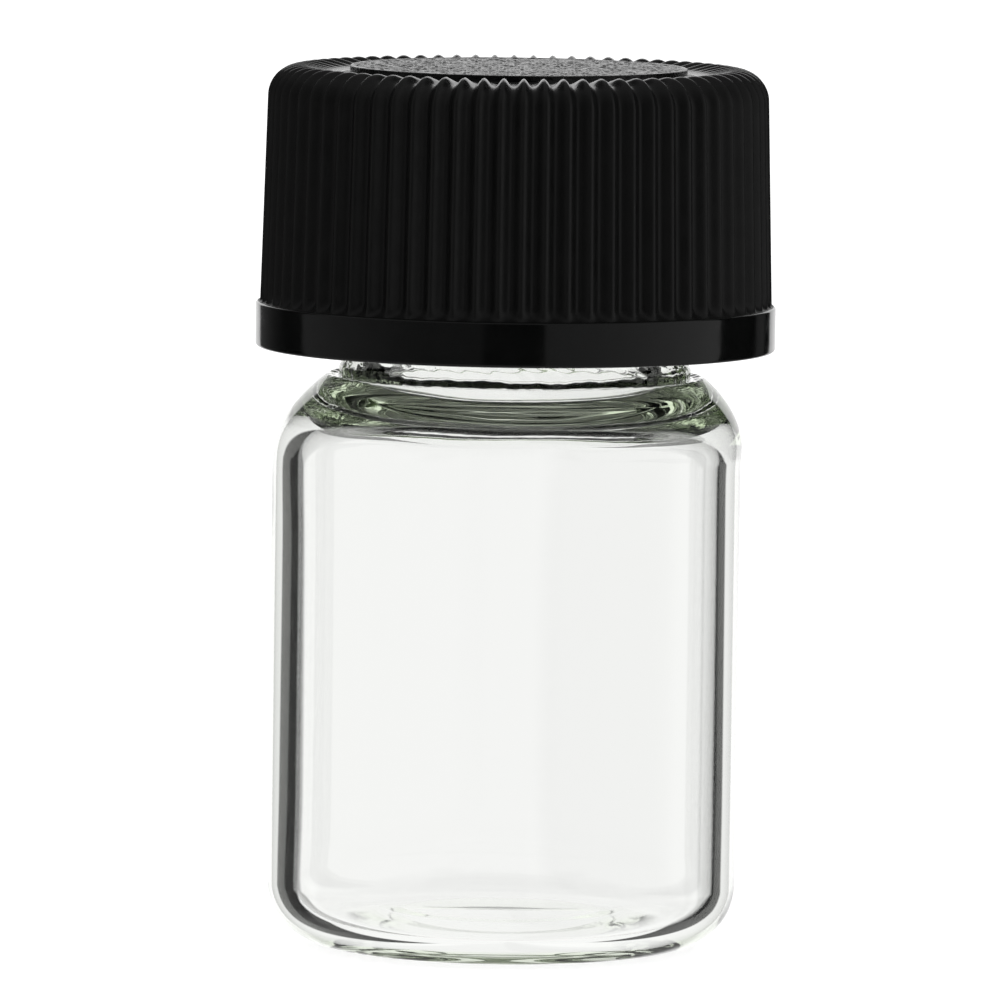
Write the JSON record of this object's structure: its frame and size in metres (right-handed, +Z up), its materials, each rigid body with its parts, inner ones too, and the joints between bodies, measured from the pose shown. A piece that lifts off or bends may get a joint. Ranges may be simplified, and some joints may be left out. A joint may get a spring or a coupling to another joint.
{
  "type": "screw-cap sample vial",
  "caption": "Small clear glass sample vial with a rounded shoulder and a threaded neck, closed by a finely ribbed black screw cap with a sealing liner.",
  "frame": {"origin": "centre of the base, on the plane that the vial stands on", "axes": "+Z up the axis of the vial, towards the cap; the vial is round, so +X and +Y are any two square directions"},
  "size_m": [0.0204, 0.0204, 0.0346],
  "materials": {
    "clear_glass": "clear, with a faint green tint in the thick parts",
    "black_cap": "moulded black, satin ribs, glossy skirt band, fine spark-eroded grain on the top disc",
    "liner_foam": "closed-cell foam, matte",
    "liner_film": "smooth film"
  },
  "bodies": {
    "vial": {"glass_vial": "clear_glass"},
    "liner": {"liner_backing": "liner_foam", "liner_facing": "liner_film"},
    "cap": {"screw_cap": "black_cap"}
  },
  "joints": [
    {"name": "cap_rise", "type": "slide", "parent": "vial", "child": "liner", "axis": [0, 0, 1], "range_m": [0, 0.01588]},
    {"name": "cap_turn", "type": "hinge", "parent": "liner", "child": "cap", "pos_m": [0, 0, 0.0235], "axis": [0, 0, 1], "range_deg": [0, 1800]}
  ],
  "couplings": [
    {"joint": "cap_rise", "follows": "cap_turn", "m_per_rad": 0.00050532}
  ]
}
